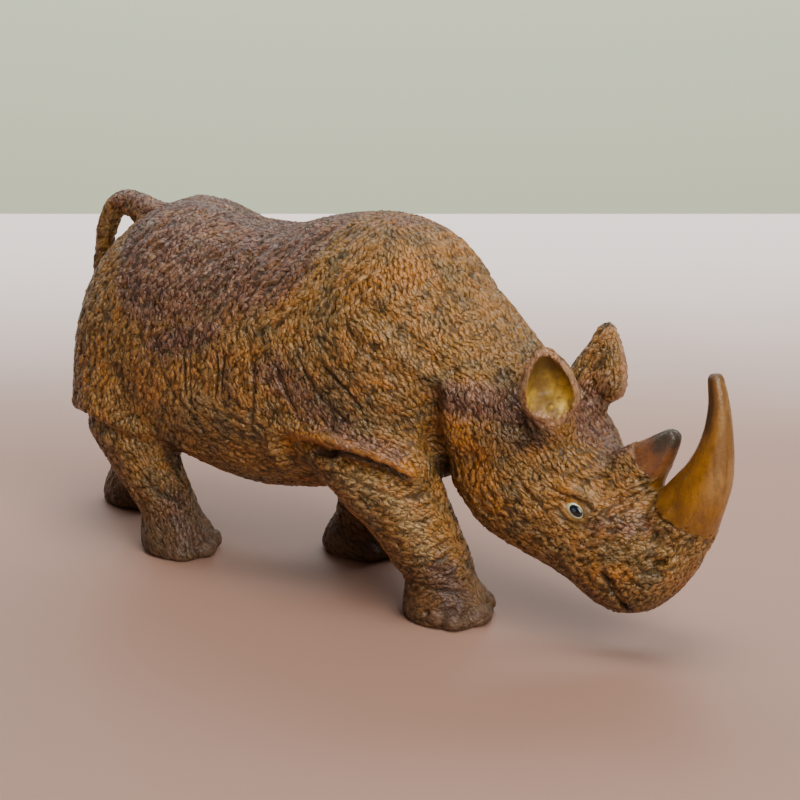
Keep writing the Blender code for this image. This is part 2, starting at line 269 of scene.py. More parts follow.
def write_attribute(mesh, name, values):
    kind = "FLOAT_VECTOR" if values.ndim == 2 else "FLOAT"
    layer = mesh.attributes.new(name, kind, "POINT")
    layer.data.foreach_set("vector" if values.ndim == 2 else "value", values.astype(np.float32).ravel())


def smooth_rise(values, low, high):
    t = np.clip((values - low) / (high - low), 0, 1)
    return t * t * (3 - 2 * t)


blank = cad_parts["rhinoceros"].data.copy()
bm = bmesh.new()
bm.from_mesh(blank)
bmesh.ops.remove_doubles(bm, verts=bm.verts, dist=1e-6)
bm.to_mesh(blank)
bm.free()
blank.materials.clear()
body = place_object("carved_body", blank)

SKIN_GRAIN = 0.45
round_off = body.modifiers.new("round the facets", "SUBSURF")
round_off.levels = round_off.render_levels = 2
even_out = body.modifiers.new("even skin", "REMESH")
even_out.mode = "VOXEL"
even_out.voxel_size = SKIN_GRAIN / 1000
settle = body.modifiers.new("settle", "SMOOTH")
settle.factor = 0.5
settle.iterations = 6
body = made_plain(body, "carved_body")
points = read_vectors(body.data, "co") * 1000

# The horns' middle lines as the solid has them: X, Y, Z and radius
FRONT_HORN = (
    (101.6, -6.0, 32.5, 9.0),
    (106.6, -6.3, 41.5, 11.0),
    (111.4, -6.7, 50.5, 9.5),
    (116.1, -7.0, 59.5, 7.4),
    (118.6, -7.3, 70.5, 4.9),
    (118.9, -7.4, 81.5, 3.2),
    (117.1, -7.4, 91.0, 2.3),
)
REAR_HORN = (
    (88.6, -4.9, 50.5, 11.5),
    (91.8, -5.0, 55.5, 9.0),
    (96.4, -5.2, 60.5, 6.4),
    (100.9, -5.5, 65.8, 4.2),
    (104.5, -5.8, 70.1, 2.2),
)


def along_rod(points, rows):
    """For each point: how far along the rod it is, from 0 to 1, and its distance in radii."""
    rows = np.array(rows, float)
    best = np.full(len(points), 1e9)
    share = np.zeros(len(points))
    for i, (a, b) in enumerate(zip(rows, rows[1:])):
        step = b[:3] - a[:3]
        t = np.clip((points - a[:3]) @ step / (step @ step), 0, 1)
        radius = a[3] + (b[3] - a[3]) * t
        distance = np.linalg.norm(points - a[:3] - t[:, None] * step, axis=1) / radius
        nearer = distance < best
        best = np.where(nearer, distance, best)
        share = np.where(nearer, (i + t) / (len(rows) - 1), share)
    return share, best


def horn_masks(points):
    """Where the skin stops and each smooth horn starts, with an uneven edge."""
    x, y, z = points.T
    front_share, front_near = along_rod(points, FRONT_HORN)
    rear_share, rear_near = along_rod(points, REAR_HORN)
    wobble = 0.5 * np.sin(1.1 * x + 0.8 * y) + 0.4 * np.sin(1.9 * y - 1.3 * z)
    above_edge = (z - 51.5 + 0.55 * (x - 100)) / 1.14 + wobble
    front = smooth_rise(above_edge, -0.5, 0.5) * smooth_rise(-front_near, -1.45, -1.3)
    front *= smooth_rise(front_share, 0.16, 0.2)
    rear = smooth_rise(-rear_near, -1.4, -1.2) * smooth_rise(rear_share + 0.03 * wobble, 0.3, 0.42)
    share = np.where(front_near < rear_near, front_share, rear_share)
    return front, rear * (1 - front), share


HEAD_TURN = 0.0875
HEAD_TURN_START = 34.1
EYE = (79.2, -21.0, 45.5)


def other_side(path, on_head):
    """The same places on the left of the animal; the head's middle plane leans to the right."""
    flipped = []
    for x, y, z in path:
        middle = -HEAD_TURN * (x - HEAD_TURN_START) if on_head else 0
        flipped.append((x, 2 * middle - y, z))
    return flipped


def polish(piece, chosen, rounds):
    """Smooths the chosen part of the skin."""
    group = piece.vertex_groups.new(name="polished")
    group.add(np.nonzero(chosen)[0].tolist(), 1.0, "REPLACE")
    rub = piece.modifiers.new("polish", "SMOOTH")
    rub.factor = 0.5
    rub.iterations = rounds
    rub.vertex_group = "polished"
    return made_plain(piece, "carved_body")


# The horns, the lids and the buttocks' lower corners are rubbed smooth
LID = 4.8
BUTTOCK = (-98.5, -31.5, 51.5)
CORNER = 8.5
front_horn, rear_horn, horn_share = horn_masks(points)
eyes = [np.array(EYE), np.array(other_side([EYE], True)[0])]
buttocks = [np.array(BUTTOCK), np.array(other_side([BUTTOCK], False)[0])]
near_eye = np.min([np.linalg.norm(points - eye, axis=1) for eye in eyes], axis=0)
near_buttock = np.min([np.linalg.norm(points - place, axis=1) for place in buttocks], axis=0)
smooth_horn = (front_horn > 0.5) & (horn_share < 0.97)
body = polish(body, smooth_horn | (near_eye < LID) | (near_buttock < CORNER), 30)

points = read_vectors(body.data, "co") * 1000
normals = read_vectors(body.data, "normal")
front_horn, rear_horn, horn_share = horn_masks(points)

# Rounding and rubbing took this much off the skin and the horns, and it is given back
LOST = 0.12
LOST_ON_HORNS = 0.15
points += normals * (LOST + LOST_ON_HORNS * (front_horn + rear_horn)[:, None])
points[:, 2] = np.maximum(points[:, 2], 0)
faces = np.empty(len(body.data.polygons) * 4, np.int32)
body.data.polygons.foreach_get("vertices", faces)
skin = BVHTree.FromPolygons(points.tolist(), faces.reshape(-1, 4).tolist())


def laid_on_skin(path, steps=4):
    """A smooth line through the listed places, each then moved to the nearest skin."""
    rows = np.array(path, float)
    padded = np.vstack([2 * rows[0] - rows[1], rows, 2 * rows[-1] - rows[-2]])
    line = []
    for a, b, c, d in zip(padded, padded[1:], padded[2:], padded[3:]):
        for t in np.linspace(0, 1, steps, endpoint=False):
            bend = (2 * a - 5 * b + 4 * c - d) * t**2 + (3 * b - a - 3 * c + d) * t**3
            line.append(0.5 * (2 * b + (c - a) * t + bend))
    line.append(rows[-1])
    return np.array([skin.find_nearest(Vector(p))[0] for p in line])


def distance_to(path, reach):
    """Each point's distance to a line on the skin, and how far along the line its nearest place is."""
    line = laid_on_skin(path) if len(path) > 1 else np.array([skin.find_nearest(Vector(path[0]))[0]] * 2)
    distance = np.full(len(points), 1e6)
    share = np.full(len(points), 0.5)
    near = np.all((points > line.min(axis=0) - reach) & (points < line.max(axis=0) + reach), axis=1)
    chosen = points[near]
    best = np.full(len(chosen), 1e6)
    best_share = np.zeros(len(chosen))
    for i, (a, b) in enumerate(zip(line, line[1:])):
        step = b - a
        t = np.clip((chosen - a) @ step / max(step @ step, 1e-9), 0, 1)
        here = np.linalg.norm(chosen - a - t[:, None] * step, axis=1)
        best_share = np.where(here < best, (i + t) / (len(line) - 1), best_share)
        best = np.minimum(best, here)
    distance[near] = best
    share[near] = best_share
    return distance, share


def both_sides(path, on_head=False):
    return (path, other_side(path, on_head))


def runs_out(share):
    """Less and less of a cut or a roll toward both its ends."""
    return smooth_rise(0.5 - abs(share - 0.5), -0.02, 0.15)


def groove(path, width, depth):
    """A cut with straight flanks."""
    distance, share = distance_to(path, 1.5 * width)
    return -depth * np.clip(1 - distance / width, 0, 1) ** 1.4 * runs_out(share)


def swell(path, width, height):
    distance, share = distance_to(path, 3 * width)
    return height * np.exp(-((distance / width) ** 2)) * runs_out(share)


# Wrinkles of the body: width, depth and places on the right side
BODY_WRINKLES = (
    (0.8, 1.0, ((-54.2, -34, 77), (-54, -35, 69), (-53.3, -34, 60))),
    (0.8, 1.0, ((-52, -34, 76), (-51.7, -35, 69), (-51.5, -34, 61))),
    (0.8, 1.1, ((-42, -34, 79), (-40.7, -35, 71), (-42, -35, 61))),
    (0.8, 1.1, ((-39.5, -34, 80), (-38.7, -35, 72), (-39.3, -35, 63))),
    (1.1, 0.7, ((-31, -32, 86), (-27, -35, 70), (-29, -34, 54))),
    (1.1, 0.5, ((-64, -35, 72), (-60, -35, 63), (-50, -34, 53))),
    (1.2, 1.2, ((-5, -32, 80), (3, -34, 76), (8, -34, 72), (12, -32, 67))),
    (1.0, 0.6, ((2, -30, 95), (8, -31, 88), (17, -30, 82), (24, -28, 77))),
    (1.0, 0.6, ((-8, -31, 90), (-2, -33, 84), (6, -34, 79), (14, -33, 73))),
    (1.0, 0.7, ((-14, -32, 84), (-9, -34, 76), (-3, -34, 69), (6, -34, 63))),
    (1.1, 0.9, ((-20, -33, 78), (-17, -34, 70), (-12, -34, 63))),
    (1.1, 1.0, ((-77, -29, 30), (-73, -26, 23), (-69, -23, 20), (-66, -17, 16))),
    (1.1, 0.8, ((-72, -22, 34), (-70, -18, 27), (-68, -14, 20))),
    (1.5, 2.2, ((-6, -32, 50.5), (1, -34, 52), (8, -37, 54), (15, -36, 53.5), (22, -34, 52), (29, -28, 48))),
    (0.9, 0.8, ((-3, -31, 47), (6, -34, 47), (14, -33, 45), (22, -30, 42))),
    (1.0, 0.8, ((23, -26, 14), (28, -28, 13.5), (36, -26, 12), (42, -19, 11))),
    (0.9, 0.7, ((30, -28, 22), (36, -27, 18), (40, -22, 15))),
)
# Rolls of skin: width, height and places
BODY_ROLLS = (
    (
        1.5,
        1.1,
        (
            (-17, -30, 52),
            (-8, -35, 56.5),
            (2, -36, 57.5),
            (10, -37, 57),
            (17, -36, 56),
            (24, -34, 53.5),
            (29, -30, 48),
            (32, -26, 42),
        ),
    ),
    (2.6, 1.0, ((-17, -30, 52), (-13, -31, 54.5), (-9, -34, 56))),
    (1.3, 1.2, ((-1, -28, 38), (7, -27, 30), (13, -26, 24), (18, -26, 19), (22, -26, 15))),
    (2.5, 0.7, ((-79, 5, 112), (-70, 4, 113.5), (-60, 3, 112))),
)
HEAD_WRINKLES = (
    (1.0, 0.9, ((69, -22, 52), (75, -20.5, 50), (80, -20, 48.7), (85, -19, 46.5))),
    (1.0, 0.5, ((66, -22, 57), (72, -21, 56), (78, -19, 55), (84, -17, 54.5))),
    (1.0, 0.8, ((60, -21, 52), (65, -22, 48), (72, -22, 42))),
    (1.1, 0.7, ((79, -19, 53), (83, -15, 55), (87, -14, 56))),
    (1.1, 0.7, ((85, -17, 51), (88, -15, 54), (94, -13, 57))),
    (0.8, 0.8, ((74, -22, 46), (76, -21.5, 43), (79, -21, 42), (83, -21, 42))),
    (0.9, 0.6, ((74, -22, 44), (77, -22, 41), (81, -22, 40), (85, -21, 42))),
    (0.9, 0.6, ((75, -21, 48), (72, -22, 48), (69, -23, 48))),
    (0.9, 0.6, ((75, -22, 46), (72, -22, 45), (70, -23, 44))),
    (1.1, 1.2, ((90, -21, 27), (92, -21, 23), (94, -20, 20), (95, -18, 17), (96, -14, 13), (96.5, -9, 11))),
    (1.0, 0.8, ((88, -20, 21), (92, -21, 23.5), (95, -20, 23), (98, -20, 21))),
    (1.3, 1.0, ((104.5, -19, 33), (106.5, -17.5, 34), (108.5, -17, 34))),
    (1.3, 1.7, ((88.5, -22, 28.5), (90, -21.5, 27), (91.5, -21, 25.5))),
    (1.8, 2.2, ((95.5, -19.5, 19), (95.5, -17.5, 16.5), (95.5, -15.5, 14.5))),
    (1.0, 0.7, ((98, -21, 29), (100, -21, 27), (103, -20, 25))),
    (0.9, 0.6, ((100, -7, 52), (103, -15, 48), (109, -17, 46), (115, -15, 43), (118, -8, 42))),
    (0.7, 0.8, ((91, -7, 64), (93, -10, 63), (94, -11, 62))),
)
HEAD_ROLLS = (
    (1.2, 0.7, ((73, -22, 52.5), (77, -20, 51.5), (82, -19, 50), (86, -18, 48))),
    (0.7, 0.5, ((76.5, -21, 47), (79, -20, 48), (82, -20, 46.5), (84, -20, 43.8))),
    (0.7, 0.6, ((76, -21.5, 46), (78, -21, 43.4), (81, -21, 42.6), (84, -20, 43.2))),
)
carving = np.zeros(len(points))
rolled = np.zeros(len(points))
for wrinkles, rolls, on_head in ((BODY_WRINKLES, BODY_ROLLS, False), (HEAD_WRINKLES, HEAD_ROLLS, True)):
    for width, depth, path in wrinkles:
        for side in both_sides(path, on_head):
            carving += groove(side, width, depth)
    for width, height, path in rolls:
        for side in both_sides(path, on_head):
            raised = swell(side, width, height)
            carving += raised
            rolled = np.maximum(rolled, raised / height)
FULL_FOLD = 0.8
fold = np.clip(-carving / FULL_FOLD, 0, 1)

# The buttocks' lower corners are pared off, and each eye gets a hollow to lie in
CORNER_OFF = 0.8
EYE_HOLLOW = 1.3
for side in both_sides(((-100.5, -31.5, 50.5),)):
    carving -= CORNER_OFF * np.exp(-((distance_to(side, 12)[0] / 4.5) ** 2))
for side in both_sides((EYE,), True):
    carving -= EYE_HOLLOW * np.exp(-((distance_to(side, 6)[0] / 2.2) ** 4))

# Each foot: its middle, and its nails and the hollows between them as X, Y, height and size
# from that middle. A nail stands a little proud inside a narrow cut.
FORE_NAILS = ((3.0, -12.5, 3.8, 2.7), (8.6, -11.5, 2.6, 3.4), (14.3, -2.5, 3.6, 3.7), (9, 10, 3.5, 3.0))
FORE_PITS = ((8.5, -11, 7.5, 1.8), (12.5, -7.5, 5.5, 1.8), (0, -13, 5, 1.2), (13, 4, 5, 1.5))
HIND_NAILS = ((4.0, -11, 2.0, 3.6), (12.9, -2.5, 3.4, 3.4), (8, 8.5, 3.0, 2.8))
HIND_PITS = ((8.5, -9.5, 4.5, 1.4), (11, -4.5, 6.5, 1.6), (12, 3.5, 5, 1.4))
FEET = (
    ((32.1, -16), 1, FORE_NAILS, FORE_PITS),
    ((-20.9, 17.5), -1, FORE_NAILS, FORE_PITS),
    ((-70.9, -16), 1, HIND_NAILS, HIND_PITS),
    ((-110.9, 14), -1, HIND_NAILS, HIND_PITS),
)
NAIL_PROUD = 0.5
NAIL_CUT = 0.5
PIT_DEPTH = 1.3
nail = np.zeros(len(points))
for (x, y), side, nails, pits in FEET:
    for dx, dy, height, size in nails:
        distance = distance_to(((x + dx, y + dy * side, height),), 2.5 * size)[0] / size
        nail = np.maximum(nail, smooth_rise(-distance, -1.05, -0.8))
        carving += NAIL_PROUD * np.exp(-(distance**4))
        carving -= NAIL_CUT * np.exp(-(((distance - 1.12) / 0.2) ** 2))
    for dx, dy, height, size in pits:
        distance = distance_to(((x + dx, y + dy * side, height),), 2.5 * size)[0] / size
        carving -= PIT_DEPTH * np.exp(-(distance**2))
carving *= smooth_rise(points[:, 2], 0.0, 1.2)

# The ears: middle, the way up and the way that the hollow faces, as the solid has them
EARS = (
    ((68.4, -19.2, 82.8), (-0.02, -0.26, 1.0), (0.55, -0.83, 0.05)),
    ((70.6, 12.5, 81.5), (-0.08, 0.16, 1.0), (0.55, 0.83, 0.05)),
)
EAR_HALF_HEIGHT = 12.5
EAR_HALF_WIDTH = 8.5
EAR_TAPER = 0.38
hollow = np.zeros(len(points))
ear_rim = np.zeros(len(points))
for middle, up_way, facing in EARS:
    up_way = Vector(up_way).normalized()
    facing = (Vector(facing) - Vector(facing).dot(up_way) * up_way).normalized()
    side = facing.cross(up_way)
    away_from = points - np.array(middle)
    height = away_from @ np.array(up_way) / EAR_HALF_HEIGHT
    half_width = EAR_HALF_WIDTH * (1 - EAR_TAPER * np.clip(height, -1, 1))
    wide = away_from @ np.array(side) / half_width
    deep = away_from @ np.array(facing)
    ring = np.sqrt(height**2 + wide**2)
    within = smooth_rise(deep, -6.0, -4.5) * smooth_rise(-deep, -7.0, -5.5)
    toward = smooth_rise(normals @ np.array(facing), -0.5, 0.0)
    hollow = np.maximum(hollow, within * toward * smooth_rise(-ring, -0.86, -0.74))
    at_edge = within * np.exp(-(((ring - 0.93) / 0.1) ** 2)) * smooth_rise(deep, -0.5, 1.5)
    ear_rim = np.maximum(ear_rim, at_edge)

# The flap of skin along the foot of each hollow, and the knob inside it with a cut round it
FLAP_HEIGHT = 1.2
KNOB_HEIGHT = 0.9
KNOB_CUT = 0.5
for side in both_sides(((66, -23, 73.5), (68, -21.5, 73.5), (71, -20, 72)), True):
    flap = swell(side, 1.1, FLAP_HEIGHT)
    carving += flap
    ear_rim = np.maximum(ear_rim, flap / FLAP_HEIGHT)
for side in both_sides(((70, -20, 76),), True):
    knob = distance_to(side, 3)[0]
    carving += KNOB_HEIGHT * np.exp(-(knob**4))
    carving -= KNOB_CUT * np.exp(-(((knob - 1.4) / 0.3) ** 2))
hollow *= 1 - 0.8 * ear_rim

points += normals * carving[:, None]
body.data.vertices.foreach_set("co", (points / 1000).ravel())
body.data.update()

# The lean of the gouge strokes on each part: X and Z of a place on the part, then degrees
# forward of upright. The parts are the hind legs and rump, the barrel, the shoulder and
# forelegs, the neck, and the head from the jowl to the lip. Each stroke's place and angle were
# judged by eye in the photograph. A scratch script turned them into X, Z and a lean, and its
# rows were then thinned out and rounded.
LEANS = (
    (-110, 10, 5),
    (-90, 75, 20),
    (-72, 60, 10),
    (-70, 25, -35),
    (-60, 105, 25),
    (-35, 50, -80),
    (-35, 75, 0),
    (-25, 100, 30),
    (-10, 75, -20),
    (5, 70, -45),
    (0, 105, 15),
    (15, 90, -45),
    (20, 110, -35),
    (15, 50, -85),
    (30, 25, 85),
    (40, 95, -45),
    (45, 60, -10),
    (65, 50, -65),
    (70, 65, -50),
    (73, 80, 15),
    (85, 60, -60),
    (95, 45, 75),
    (110, 32, 55),
)


def stroke_ways(points, normals):
    """The way of the strokes on the skin at every point: the leans mixed by nearness."""
    mixed = np.zeros((len(points), 2))
    for x, z, lean in LEANS:
        weight = 1 / ((points[:, 0] - x) ** 2 + (points[:, 2] - z) ** 2 + 30) ** 2
        double = math.radians(2 * lean)
        mixed += weight[:, None] * np.array((math.sin(double), math.cos(double)))
    lean = np.arctan2(mixed[:, 0], mixed[:, 1]) / 2
    way = np.stack([np.sin(lean), np.full(len(points), 0.02), np.cos(lean)], axis=1)
    way -= np.sum(way * normals, axis=1)[:, None] * normals
    return way / np.linalg.norm(way, axis=1, keepdims=True)


normals = read_vectors(body.data, "normal")
ways = stroke_ways(points, normals)

# Where the gouge cuts: not on the horns, the ears' hollows and the soles, and lightly at the
# eyes, on the feet, on the rolls and in the folds
sole = smooth_rise(-points[:, 2], -0.8, -0.2)
eye_area = np.min([np.linalg.norm(points - eye, axis=1) for eye in eyes], axis=0)
bare = np.maximum.reduce([front_horn, rear_horn, hollow, sole, nail * 0.35, ear_rim * 0.5])
cut_here = (1 - bare) * (0.35 + 0.65 * smooth_rise(eye_area, 2.8, 5.0))
cut_here *= 1 - 0.45 * smooth_rise(-points[:, 2], -16, -8)
cut_here *= (1 - 0.6 * rolled) * (1 - 0.8 * fold)

write_attribute(body.data, "skin_place", points)
write_attribute(body.data, "stroke", ways)
write_attribute(body.data, "across", np.cross(normals, ways))
write_attribute(body.data, "cut_here", cut_here)
write_attribute(body.data, "front_horn", front_horn)
write_attribute(body.data, "rear_horn", rear_horn)
write_attribute(body.data, "horn_share", horn_share)
write_attribute(body.data, "hollow", hollow)
write_attribute(body.data, "ear_rim", ear_rim)
write_attribute(body.data, "nail", nail)
write_attribute(body.data, "fold", fold)

# Where each stain lies thicker, and where shade is painted: size of the patch, strength,
# places on the right side
PURPLE = (
    (6, 0.9, ((-64, -34, 76), (-55, -34, 79), (-47, -33, 83))),
    (6, 1.0, ((36, -24, 74), (44, -23, 74), (53, -20, 74), (60, -19, 73))),
    (7, 0.7, ((-20, -34, 75), (-8, -34, 67), (6, -34, 62))),
    (5, 0.7, ((10, -36, 59), (16, -35, 58), (22, -34, 56))),
    (6, 0.8, ((36, -27, 18), (38, -24, 12), (41, -25, 8))),
    (8, 0.8, ((-68, -22, 18), (-64, -20, 6))),
    (8, 0.75, ((71, 3, 73), (74, 3, 65), (78, 1, 62), (86, -6, 60))),
    (6, 0.5, ((87, -21, 41), (95, -18, 43), (102, -16, 43))),
    (6, 0.5, ((60, -20, 64), (68, -20, 67))),
    (6, 1.0, ((-82, 4, 111), (-60, 3, 112), (-40, 2, 105), (-20, 0, 107))),
    (5, 0.9, ((-102, -3, 111), (-97, -2, 112), (-92, -3, 109), (-86, 0, 106))),
)
ORANGE = (
    (2.6, 1.0, ((-18, -30, 52), (-9, -35, 56), (1, -36, 57), (11, -36, 56.5), (19, -36, 55), (28, -30, 51))),
    (2.6, 1.0, ((-1, -28, 38), (10, -26, 28), (17, -25, 20), (22, -26, 15))),
    (9, 0.8, ((38, -26, 66), (44, -25, 54), (54, -22, 40))),
    (3.5, 1.0, ((88, -21, 29), (93, -21, 29.5), (99, -21, 30))),
    (1.2, 0.9, ((19, -25, 96), (22, -23, 96), (25, -22, 95))),
    (1.2, 0.9, ((24, -20, 99), (27, -18, 98), (30, -16, 96))),
    (1.2, 0.9, ((12, -30, 92), (14, -30, 91), (17, -29, 90))),
    (1.4, 0.9, ((15, -33, 78), (19, -31, 77), (22, -30, 76))),
    (12, 0.6, ((2, -20, 108), (14, -22, 104), (20, -8, 113))),
    (2.5, 0.8, ((34, -28, 8), (36, -28, 3))),
    (4, 0.6, ((-41, -35, 75), (-32, -34, 78), (-25, -33, 81))),
    (4, 0.6, ((-29, -35, 66), (-24, -34, 62))),
    (6, 0.5, ((-88, -33, 71), (-86, -35, 60))),
    (8, 0.5, ((70, -22, 52), (84, -18, 50), (94, -13, 52))),
)
PALE = (
    (5, 0.8, ((9, -35, 45), (18, -33, 44), (26, -31, 36), (31, -28, 25))),
    (3, 0.9, ((11, -35, 40), (14, -34, 35))),
    (6, 0.6, ((-52, -34, 62), (-46, -35, 60))),
    (7, 0.35, ((28, -20, 100), (40, -18, 92), (50, -16, 84))),
    (6, 0.6, ((5, -34, 70), (12, -34, 64))),
    (1.4, 0.6, ((40.5, -28, 2.5), (43, -26, 3.5))),
)
# Dark streaks in the wood, and painted shade in the throat pit, where the hind legs meet the belly, and along
# the line under the arm's fold
DARK_PATCHES_AND_PAINTED_SHADE = (
    (6.5, 1.0, ((27, -12, 42), (28, -10, 45), (27, -14, 48))),
    (4, 0.5, ((-80, 4, 112), (-60, 3, 112), (-44, 2, 106))),
    (5, 0.9, ((-63, -29, 43), (-71, -19, 34), (-71, -17, 31))),
    (1.6, 0.8, ((-13, -30, 46), (-2, -32, 50.5), (8, -36, 53.5), (15, -35, 52.5), (21, -35, 51))),
    (1.6, 0.8, ((21, -35, 51), (30, -25, 46))),
    (7, 0.5, ((-76, -34, 62), (-77, -34, 55), (-80, -35, 48))),
    (4, 0.6, ((-37, -34, 73), (-36, -35, 62))),
    (5, 0.6, ((-12, -33, 76), (-4, -34, 70), (4, -34, 64))),
    (4, 0.8, ((-78, -26, 4), (-80, -20, 6))),
    (8, 0.5, ((-90, -20, 40), (-84, -28, 36))),
    (2.6, 1.0, ((69.6, 14.5, 94), (70, 14, 92))),
    (3.0, 0.5, ((68, -22, 94), (68, -21, 92))),
    (6, 0.75, ((56, -22, 66), (66, -22, 66))),
    (7, 0.5, ((73, 9, 86), (75, 9, 78))),
)
for name, patches in (("purple", PURPLE), ("orange", ORANGE), ("pale", PALE), ("dark_and_painted_shade", DARK_PATCHES_AND_PAINTED_SHADE)):
    colour_mask = np.zeros(len(points))
    for size, strength, path in patches:
        for side in both_sides(path):
            colour_mask = np.maximum(colour_mask, strength * np.exp(-((distance_to(side, 2.5 * size)[0] / size) ** 2)))
    if name == "purple":
        # The whole back is stained, down to an edge at these heights along it
        saddle_x = (-95, -85, -71, -49, -34, -24, -15, -8)
        saddle_z = (120, 88, 78, 84, 87, 93, 101, 118)
        lower_edge = np.interp(points[:, 0], saddle_x, saddle_z)
        colour_mask = np.maximum(colour_mask, 0.8 * smooth_rise(points[:, 2] - lower_edge, -7, 9))
    write_attribute(body.data, name, colour_mask)
# How far the skin faces front and up; the horns' painted light and shade follow it
write_attribute(body.data, "faces_front", normals @ np.array((0.93, -0.1, 0.35)))


# The gouge marks. The whole skin is worked with short strokes that follow the muscles and
# leave small overlapping lobes with narrow dark valleys between them.
def gouge_marks(place, stroke, across, spacing, half_length, half_width, layers):
    """Lobes between gouge strokes: how high the skin stands, and how clear of the next lobe."""
    wander = vector_math("SUBTRACT", cloud(place, 0.7 / half_width, 2.0).beside("Color"), (0.5, 0.5, 0.5))
    wavy = vector_math("ADD", place, vector_math("SCALE", wander, scale=1.3 * half_width))
    highest = next_highest = None
    for layer in range(layers):
        # Each layer's cells are moved, so that its strokes fall between the others'
        shift = (1.0 * layer, 1.65 * layer, 0.62 * layer)
        shifted = vector_math("ADD", wavy, shift)
        cells = {"Vector": shifted, "Scale": 1 / spacing}
        middle = shifted.node("ShaderNodeTexVoronoi", {}, cells, "Position")
        chance = middle.beside("Color")
        turn = (dot(chance, (1.0, 0.0, 0.0)) - 0.5) * 1.3
        away_from = vector_math("SUBTRACT", shifted, middle)
        along = dot(away_from, stroke)
        sideways = dot(away_from, across)
        u = (along + sideways * turn) / half_length
        v = (sideways - along * turn) / half_width
        spread = u * u + v * v
        tilt = dot(away_from, vector_math("SUBTRACT", chance, (0.5, 0.5, 0.5))) / half_width
        lobe = 1 - spread * (0.4 + 0.6 * spread) + tilt * 0.5 - dot(chance, (0.0, 0.3, 0.0))
        if highest is None:
            highest = lobe
            continue
        beaten = highest.math("MINIMUM", lobe)
        next_highest = beaten if next_highest is None else next_highest.biggest(beaten)
        highest = highest.biggest(lobe)
    return highest, highest - next_highest


LAYERS = 3


def gouge_tree():
    """Raises the lobes between the strokes, as far as the gouge cuts at each place."""
    tree = bpy.data.node_groups.new("gouge strokes", "GeometryNodeTree")
    tree.interface.new_socket("Geometry", in_out="INPUT", socket_type="NodeSocketGeometry")
    for name in ("Stroke Spacing", "Half Length", "Half Width", "Depth"):
        tree.interface.new_socket(name, in_out="INPUT", socket_type="NodeSocketFloat")
    tree.interface.new_socket("Wood", in_out="INPUT", socket_type="NodeSocketMaterial")
    tree.interface.new_socket("Geometry", in_out="OUTPUT", socket_type="NodeSocketGeometry")
    entry = tree.nodes.new("NodeGroupInput")
    given = {socket.name: Socket(tree, socket) for socket in entry.outputs if socket.name}

    def named(name, kind):
        return add_node(tree, "GeometryNodeInputNamedAttribute", {"data_type": kind}, {"Name": name})

    facing = add_node(tree, "GeometryNodeInputNormal")
    height, _ = gouge_marks(
        named("skin_place", "FLOAT_VECTOR"),
        named("stroke", "FLOAT_VECTOR"),
        named("across", "FLOAT_VECTOR"),
        given["Stroke Spacing"],
        given["Half Length"],
        given["Half Width"],
        LAYERS,
    )
    offset = (height.biggest(0.0) ** 0.7 - 0.6) * named("cut_here", "FLOAT") * given["Depth"]
    moved_by = vector_math("SCALE", facing, scale=offset)
    moved = add_node(tree, "GeometryNodeSetPosition", {}, {"Geometry": given["Geometry"], "Offset": moved_by})
    kept = {"Geometry": moved, "Name": "lobe", "Value": height.biggest(0.0)}
    per_point = {"data_type": "FLOAT", "domain": "POINT"}
    stored = add_node(tree, "GeometryNodeStoreNamedAttribute", per_point, kept)
    whole = add_node(tree, "GeometryNodeRealizeInstances", {}, {"Geometry": stored})
    stained = add_node(tree, "GeometryNodeSetMaterial", {}, {"Geometry": whole, "Material": given["Wood"]})
    leave = tree.nodes.new("NodeGroupOutput")
    tree.links.new(stained.output, leave.inputs["Geometry"])
    return tree


def set_inputs(modifier, **values):
    """Sets a tree's named inputs by their identifiers."""
    for item in modifier.node_group.interface.items_tree:
        name = item.name.replace(" ", "_")
        if item.item_type == "SOCKET" and item.in_out == "INPUT" and name in values:
            modifier[item.identifier] = values[name]


def attribute(tree, name, output="Fac"):
    return add_node(tree, "ShaderNodeAttribute", {"attribute_name": name}, {}, output)


# The strokes too fine for the mesh, and the depth of all the relief in the material
FINE_SPACING = 2.7
FINE_HALF_LENGTH = 2.05
FINE_HALF_WIDTH = 0.86
RELIEF_DEPTH = 0.0013

# The colours of the wood, its stains, its cuts, nails, horns and ears, with painted light and shade
# among them
DULL_OCHRE = (0.32, 0.155, 0.027)
WARM_OCHRE = (0.42, 0.195, 0.032)
RUSTY = (0.55, 0.21, 0.020)
OLIVE = (0.19, 0.135, 0.050)
ORANGE_STAIN = (0.60, 0.22, 0.016)
WORN_PALE = (0.66, 0.44, 0.18)
PURPLE_STAIN = (0.128, 0.046, 0.034)
RUBBED_PURPLE = (0.30, 0.12, 0.085)
SLATE = (0.09, 0.07, 0.08)
PALE_FLECKS = (0.60, 0.38, 0.17)
DARK_FLECKS = (0.09, 0.060, 0.026)
AMBER_MOTTLE = (0.50, 0.175, 0.024)
GREEN_MOTTLE = (0.105, 0.078, 0.042)
FOOT_BROWN = (0.060, 0.032, 0.019)
DARK_STAIN_AND_PAINTED_SHADE = (0.050, 0.032, 0.016)
CREST_WAX_AND_PAINTED_HIGHLIGHT = (0.62, 0.41, 0.22)
BETWEEN_LOBES_WAX_AND_SHADE = (0.045, 0.028, 0.010)
VALLEY_WAX_AND_SHADE = (0.034, 0.020, 0.008)
FOLD_PAINTED_SHADE = (0.030, 0.018, 0.008)
SPECKS = (0.08, 0.048, 0.020)
NAIL_DARK = (0.10, 0.052, 0.034)
NAIL_LIGHT = (0.19, 0.105, 0.055)
HORN_BROWN = (0.24, 0.092, 0.006)
HORN_AMBER = (0.38, 0.155, 0.012)
HORN_UPPER = (0.20, 0.085, 0.022)
HORN_PAINTED_LIT_SIDE = (0.40, 0.22, 0.07)
HORN_FOOT = (0.22, 0.10, 0.008)
